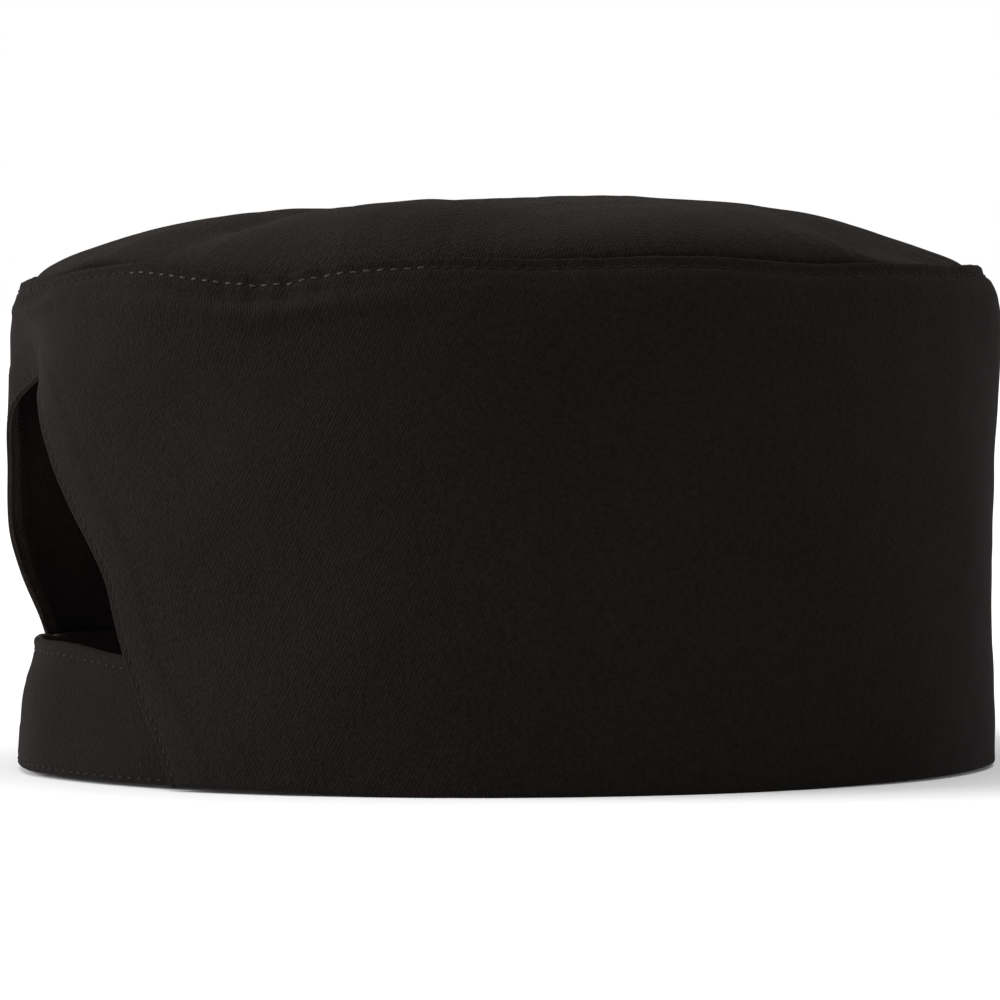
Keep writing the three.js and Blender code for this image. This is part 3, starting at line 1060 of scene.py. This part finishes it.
@dataclass
class CrownPanel:
    """The soft oval top, its edge turned down inside the band."""

    name: str = "crown_cloth"
    wall: float = 1.1
    seam_depth: float = FORM.band_wall + 0.12
    around: int = 432
    step: float = 1.6
    seam_step: float = 0.35
    growth: float = 0.12
    skirt_rows: int = 8
    hem_round: float = 0.5
    gather: Bell = Bell(at=3.5, reach=7.0, height=0.07)
    gather_start: float = 3.0
    slack: float = 0.24
    quick_slack: float = 0.09
    slack_power: int = 8
    fold_power: int = 6
    seam_power: int = 3
    crease_full: float = 0.3
    notch: Bell = Bell(at=-164.0, reach=8.0, height=0.026)
    notch_out: Bell = Bell(at=0.76, reach=0.2, height=1.0)
    out_step: float = 0.004
    turn_step: float = 0.2
    pole: float = 0.03

    def __post_init__(self) -> None:
        """Draws the cloth's unevenness."""
        self.slow = Ripple(seed=21, shortest=26.0, longest=70.0)
        self.quick = Ripple(seed=22, shortest=8.0, longest=20.0)
        self.pucker = Pucker(seed=23, fewest=60, most=150)

    def lift(self, turn: np.ndarray, out: np.ndarray) -> np.ndarray:
        """How far the crown has risen at shares of the way out from its middle."""
        around = turn_between(0, turn)
        hollow = read_table(CROWN_HOLLOW, around)
        rounded = 1 - out ** read_table(CROWN_POWER, around)
        hollowed = np.cos((math.pi / 2) * out**FORM.hollow_power) ** 2
        dome = rounded + (hollowed - rounded) * hollow
        return dome + (1 - out**FORM.roll_power - dome) * read_table(CROWN_ROLL, around)

    def puffed(self, turn: np.ndarray, out: np.ndarray) -> np.ndarray:
        """Share of the way out at which the cloth really lies, pushed out where the roll stands up."""
        rolled = out**FORM.roll_power
        puff = FORM.roll_puff * read_table(CROWN_ROLL, turn_between(0, turn)) * rolled * (1 - rolled)
        return out + puff - self.notch.over_turn(turn) * self.notch_out.over(rolled)

    def creases(self, plan: np.ndarray) -> np.ndarray:
        """Depth of the crown's creases at points of its plan."""
        total = np.zeros(plan.shape[:-1])
        for crease in CROWN_CREASES:
            start = FORM.oval(np.array(float(crease.turn)))
            off, share = off_line(plan, start, FORM.half * (crease.along, crease.across))
            fade = 1 - smooth_step(share, self.crease_full, 1.0)
            total += FORM.crown_rise * crease.depth * fade * hump(off / (FORM.crease_width * crease.width))
        return total

    def swells(self, plan: np.ndarray) -> np.ndarray:
        """Height of the crown's puffed areas at points of its plan."""
        total = np.zeros(plan.shape[:-1])
        for swell in CROWN_SWELLS:
            away = plan - FORM.half * (swell.along, swell.across)
            size = swell.size * FORM.half[1]
            total += FORM.crown_rise * swell.rise * hump(np.hypot(away[..., 0], away[..., 1]) / size)
        return total

    def dome(self, turn: np.ndarray, out: np.ndarray) -> np.ndarray:
        """Outer face of the crown above the seam.

        Args:
            turn: turns round the cap.
            out: shares of the way from the middle to the seam.

        Returns:
            Points in millimetres.
        """
        seam = FORM.crown_seam(turn, self.seam_depth)
        plan = seam[..., :2] * self.puffed(turn, out)[..., None]
        rise = FORM.crown_rise + FORM.crown_lean * plan[..., 0] / FORM.half[0]
        folds = (1 - out**self.fold_power) * (self.swells(plan) - self.creases(plan))
        base = FORM.band_height + (seam[..., 2] - FORM.band_height) * out**self.seam_power
        height = base + self.lift(turn, out) * rise + folds + self.sway(turn, out, plan)
        return np.concatenate([plan, height[..., None]], axis=-1)

    def sway(self, turn: np.ndarray, out: np.ndarray, plan: np.ndarray) -> np.ndarray:
        """How far the cloth stands off its smooth form: slack in the middle, gathers by the seam."""
        level = np.concatenate([plan, np.zeros_like(plan[..., :1])], axis=-1)
        off_seam = (1 - out) * FORM.half[1]
        share = RULER.length_at(turn) / RULER.round
        gather = self.gather.over(off_seam) * smooth_step(off_seam, 0.0, self.gather_start)
        slack = self.slack * self.slow.at(level) + self.quick_slack * self.quick.at(level)
        return (1 - out**self.slack_power) * slack + gather * self.pucker.at(share)

    def outward(self, turn: np.ndarray, out: np.ndarray) -> np.ndarray:
        """Direction out of the crown's cloth, straight up at its middle."""
        outer = np.minimum(out + self.out_step, 1.0)
        round_step = self.dome(turn + self.turn_step, out) - self.dome(turn - self.turn_step, out)
        in_step = self.dome(turn, out - self.out_step) - self.dome(turn, outer)
        upright = np.zeros_like(round_step)
        upright[..., 2] = 1.0
        across = np.cross(round_step, in_step)
        near_middle = (out < self.pole)[..., None]
        return np.where(near_middle, upright, unit(np.where(near_middle, upright, across)))

    def rows(self) -> list[tuple[Side, float, float]]:
        """The chain from the inner middle, out, down the turned edge and back up to the outer middle.

        Returns:
            For each row its face, its share of the way out and its depth below the seam in millimetres.
        """
        outs = graded(FORM.half[1], self.step, self.seam_step, self.step, self.growth)
        skirt = np.linspace(0.0, FORM.seam_allowance, self.skirt_rows)[1:]
        inner = [(Side.INNER, float(out), 0.0) for out in outs[::2]]
        inner_skirt = [(Side.INNER, 1.0, float(drop)) for drop in skirt]
        outer_skirt = [(Side.OUTER, 1.0, float(drop)) for drop in skirt[::-1]]
        outer = [(Side.OUTER, float(out), 0.0) for out in outs[::-1]]
        if outs[-1] not in outs[::2]:
            inner.append((Side.INNER, 1.0, 0.0))
        return [*inner, *inner_skirt, *outer_skirt, *outer]

    def build(self) -> bpy.types.Object:
        """Spins a chain of rows into a closed sheet and moves it to the crown's form."""
        rows = self.rows()
        shape = bmesh.new()
        last = len(rows) - 1
        chain = [shape.verts.new((0.0 if i in (0, last) else 1.0, 0.0, float(i))) for i in range(len(rows))]
        edges = [shape.edges.new(pair) for pair in zip(chain[:-1], chain[1:])]
        bmesh.ops.spin(
            shape, geom=[*chain, *edges], cent=(0, 0, 0), axis=(0, 0, 1), angle=2 * math.pi,
            steps=self.around, use_merge=True, use_duplicate=False,
        )
        bmesh.ops.remove_doubles(shape, verts=shape.verts, dist=POLE_WELD)
        verts = list(shape.verts)
        at = np.array([vert.co[:] for vert in verts])
        index = np.rint(at[:, 2]).astype(int)
        turn = np.degrees(np.arctan2(at[:, 1], at[:, 0]))
        faces = np.array([row[0].value for row in rows])[index]
        out = np.array([row[1] for row in rows])[index]
        drop = np.array([row[2] for row in rows])[index]
        for vert, spot in zip(verts, place(self.points(turn, faces, out, drop))):
            vert.co = spot
        layer = shape.loops.layers.uv.new(UV_NAME)
        for face in shape.faces:
            for loop in face.loops:
                loop[layer].uv = loop.vert.co.xy
        bmesh.ops.recalc_face_normals(shape, faces=shape.faces)
        return new_piece(self.name, shape)

    def points(self, turn: np.ndarray, faces: np.ndarray, out: np.ndarray, drop: np.ndarray) -> np.ndarray:
        """Corners of the crown's cloth.

        Args:
            turn: turns round the cap.
            faces: 1 on the outer face and -1 on the inner.
            out: shares of the way out from the middle.
            drop: depths below the seam, along the turned edge.

        Returns:
            Points in millimetres.
        """
        dome = self.dome(turn, out)
        inwards = np.where(faces < 0, self.wall, 0.0)
        above = dome - self.outward(turn, out) * inwards[:, None]
        level = 1 - drop / FORM.seam_height(turn)
        depth = self.seam_depth + np.where(faces < 0, self.wall, 0.0)
        depth = depth + np.where(drop >= FORM.seam_allowance, self.hem_round * self.wall * -faces, 0.0)
        below = FORM.band_face(turn, level) - FORM.band_outward(turn, level) * depth[:, None]
        return np.where((drop > 0)[:, None], below, above)


@dataclass
class BackStrap:
    """The plain strap along the rim, tucked in behind both edges of the opening."""

    name: str = "strap_cloth"
    wall: float = 1.6
    height: float = 25.5
    lift: float = 0.8
    tuck: float = 16.0
    clearance: float = 0.2
    swell: float = 3.6
    belly: Bell = Bell(at=14.5, reach=7.5, height=2.0)
    end_sink: float = 2.0
    sink_start: float = 0.25
    column_step: float = 1.2
    row_step: float = 0.9
    finest_step: float = 0.25
    top_groove: Bell = Bell(at=2.4, reach=0.55, height=0.25)
    low_groove: Bell = Bell(at=1.2, reach=0.5, height=0.25)
    hem_step: float = 0.16
    top_hem: tuple[float, float] = (8.6, 9.8)
    low_hem: tuple[float, float] = (7.0, 8.2)
    stitch_inset: float = 1.5
    stitch_marks: int = 900
    slack: float = 0.22

    def __post_init__(self) -> None:
        """Draws the cloth's unevenness and works out how far the strap reaches."""
        self.slow = Ripple(seed=31, shortest=18.0, longest=50.0)
        free_reach = float(FORM.turn_off_back(FORM.opening_width / 2))
        self.reach = free_reach + math.degrees(self.tuck / FORM.half[1])
        self.free = BACK - float(FORM.edge_turn(self.lift + self.height))

    def face(self, side: Side, off_back: np.ndarray, up: np.ndarray) -> tuple[np.ndarray, np.ndarray]:
        """One face of the strap.

        Args:
            side: which face.
            off_back: turns from the middle of the back.
            up: heights above the strap's lower edge in millimetres.

        Returns:
            Points in millimetres and the directions out of the cap there.
        """
        turn = BACK + off_back
        level = (self.lift + up) / FORM.seam_height(turn)
        smooth = FORM.band_face(turn, level)
        out = FORM.band_outward(turn, level)
        to_end = np.radians(self.reach - np.abs(off_back)) * FORM.half[1]
        down = self.height - up
        share, rounding = rounded_edge(np.minimum(np.minimum(up, down), to_end), self.wall)
        hems = 2 - smooth_step(down, *self.top_hem) - smooth_step(up, *self.low_hem)
        relief = self.hem_step * hems - self.top_groove.over(down) - self.low_groove.over(up)
        relief = relief * (1 - share)
        middle = 1 - smooth_step(np.abs(off_back), 0.0, self.free)
        bulge = middle * (self.swell + self.belly.over(up))
        depth = FORM.band_wall + FORM.piece_gap + self.clearance - bulge
        depth = depth + (rounding - relief if side is Side.OUTER else self.wall - rounding)
        face = smooth + out * (self.slack * self.slow.at(smooth) - depth)[..., None]
        sink = smooth_step(np.abs(off_back), self.sink_start * self.free, self.free)
        face[..., 2] -= self.end_sink * sink * up / self.height
        return face, out

    def build(self) -> bpy.types.Object:
        """Makes the strap, folded at its lower edge."""
        length = 2 * math.radians(self.reach) * FORM.half[1]
        step = self.finest_step
        along = (graded(length, step, step, self.column_step) * 2 - 1) * self.reach
        up = graded(self.height, step, step, self.row_step) * self.height
        turns, heights = np.meshgrid(along, up)
        inner, _ = self.face(Side.INNER, turns, heights)
        outer, _ = self.face(Side.OUTER, turns, heights)
        return folded_cloth(self.name, inner, outer, np.radians(turns) * FORM.half[1], heights)

    def stitch_lines(self) -> list[tuple[np.ndarray, np.ndarray]]:
        """The strap's two lines of stitching, near its upper and lower edges."""
        end = self.reach - self.stitch_inset
        along = np.linspace(-end, end, self.stitch_marks)
        heights = (self.height - self.top_groove.at, self.low_groove.at)
        return [self.face(Side.OUTER, along, np.full_like(along, up)) for up in heights]


@dataclass
class Stitching:
    """All stitches of one piece, joined as one mesh."""

    name: str
    thread: Thread

    def build(self, lines: list[tuple[np.ndarray, np.ndarray]]) -> bpy.types.Object:
        """Lays stitches along lines.

        Args:
            lines: for each line its points and the directions out of the cloth.

        Returns:
            The stitches as one object.
        """
        shape = bmesh.new()
        for points, outward in lines:
            laid = lay_stitches(shape, points, outward, self.thread)
            LOG.info("%s: %d stitches in a line", self.name, laid)
        return new_piece(self.name, shape)


@dataclass
class Studio:
    """A plain pale floor, a low soft light from one side, one from above, and the photo's camera."""

    floor_half: float = 30.0
    floor_tone: float = 0.93
    floor_roughness: float = 0.9
    floor_specular: float = 0.1
    air_strength: float = 0.44
    sensor: float = 36.0
    distance: float = 1.22
    azimuth: float = -15.0
    eye_height: float = 0.094
    lens: float = 221.4
    drop: float = 1.956
    aside: float = -0.00119

    def floor(self) -> bpy.types.Object:
        """A wide level floor."""
        shape = bmesh.new()
        bmesh.ops.create_grid(shape, x_segments=1, y_segments=1, size=self.floor_half)
        floor = new_piece("studio_floor", shape)
        paint = bpy.data.materials.new("pale_floor")
        paint.use_nodes = True
        shader = NodeBench(paint.node_tree).shader()
        shader.inputs["Base Color"].default_value = (self.floor_tone, self.floor_tone, self.floor_tone, 1.0)
        shader.inputs["Roughness"].default_value = self.floor_roughness
        shader.inputs["Specular IOR Level"].default_value = self.floor_specular
        floor.data.materials.append(paint)
        return floor

    def world(self) -> None:
        """Even pale light all round, plain white where the camera sees it."""
        world = bpy.data.worlds.new("studio_air")
        world.use_nodes = True
        bpy.context.scene.world = world
        tree = world.node_tree
        background = next(node for node in tree.nodes if node.type == "BACKGROUND")
        path = tree.nodes.new("ShaderNodeLightPath")
        strength = tree.nodes.new("ShaderNodeMapRange")
        strength.inputs["To Min"].default_value = self.air_strength
        strength.inputs["To Max"].default_value = 1.0
        tree.links.new(path.outputs["Is Camera Ray"], strength.inputs["Value"])
        tree.links.new(strength.outputs["Result"], background.inputs["Strength"])
        background.inputs["Color"].default_value = (1.0, 1.0, 1.0, 1.0)

    def sun(self, name: str, azimuth: float, height: float, strength: float, softness: float) -> None:
        """A soft light from far away.

        Args:
            name: the light's name.
            azimuth: degrees round from the camera's zero view, as the views count them.
            height: degrees above the floor.
            strength: how strong it is.
            softness: how wide it looks, in degrees.
        """
        lamp = bpy.data.lights.new(name, "SUN")
        lamp.energy = strength
        lamp.angle = math.radians(softness)
        light = bpy.data.objects.new(name, lamp)
        round_way = math.radians(azimuth)
        up = math.radians(height)
        way = Vector((math.sin(round_way) * math.cos(up), -math.cos(round_way) * math.cos(up), math.sin(up)))
        light.rotation_euler = way.to_track_quat("Z", "Y").to_euler()
        bpy.context.scene.collection.objects.link(light)

    def camera(self) -> None:
        """The photo's viewpoint, through a long lens."""
        lens = bpy.data.cameras.new("photo_camera")
        lens.lens = self.lens
        lens.sensor_width = self.sensor
        lens.sensor_fit = "HORIZONTAL"
        camera = bpy.data.objects.new("photo_camera", lens)
        way = math.radians(self.azimuth)
        spot = Vector((math.sin(way), -math.cos(way), 0.0)) * self.distance
        spot.z = self.eye_height
        aim = Vector((math.cos(way), math.sin(way), 0.0)) * self.aside
        aim.z = self.eye_height - self.distance * math.tan(math.radians(self.drop))
        camera.location = spot
        camera.rotation_euler = (aim - spot).to_track_quat("-Z", "Y").to_euler()
        bpy.context.scene.collection.objects.link(camera)
        bpy.context.scene.camera = camera

    def build(self) -> None:
        """Sets up the whole studio."""
        self.floor()
        self.world()
        self.sun("key_light", azimuth=-100, height=18, strength=4.2, softness=40)
        self.sun("top_light", azimuth=0, height=84, strength=1.5, softness=70)
        self.camera()
        bpy.context.scene.view_settings.view_transform = "Standard"


def dress(piece: bpy.types.Object, material: bpy.types.Material, slot: str, *nodes: str) -> None:
    """Gives a piece its material and its place on the cap.

    Args:
        piece: the finished piece.
        material: its finish.
        slot: not used.
        nodes: the CAD nodes that it stands for.
    """
    piece.data.materials.append(material)
    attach(piece, "root")
    if nodes:
        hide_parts(*nodes)
    LOG.info("%s: %d faces", piece.name, len(piece.data.polygons))


def main() -> None:
    """Builds the cap and its studio."""
    logging.basicConfig(level=logging.INFO, format="%(name)s %(message)s")
    band = SideBand()
    crown = CrownPanel()
    strap = BackStrap()
    # The inner faces of band and strap are given painted light: their colour is made several times paler.
    band_cloth = TwillFinish("band_twill", colour=(0.0062, 0.0048, 0.0044), inner_light_gain=7.0)
    crown_cloth = TwillFinish("crown_twill", colour=(0.0073, 0.0058, 0.0047), wale_way=52.0)
    strap_cloth = TwillFinish("strap_twill", colour=(0.0053, 0.0041, 0.0038), inner_light_gain=12.0)
    dress(band.build(), band_cloth.material(), "band_twill", "side_band")
    dress(crown.build(), crown_cloth.material(), "crown_twill", "crown_panel")
    dress(strap.build(), strap_cloth.material(), "strap_twill", "back_strap")
    sunk = ThreadFinish().material()
    # Painted highlight: the seam stitches towards the back on the wearer's right get a paler thread colour,
    # along with real extra gloss.
    highlit = ThreadFinish("highlit_thread", (0.024, 0.0212, 0.0202), roughness=0.42, specular=0.14).material()
    seam = [band.seam_stitches(*HIGHLIT_STITCHES)]
    dress(Stitching("band_stitches", Thread()).build(band.stitch_lines()), sunk, "band_twill")
    dress(Stitching("seam_stitches", Thread(width=0.6, proud=0.1)).build(seam), highlit, "band_twill")
    dress(Stitching("strap_stitches", Thread()).build(strap.stitch_lines()), sunk, "strap_twill")
    Studio().build()


if __name__ == "__main__":
    main()
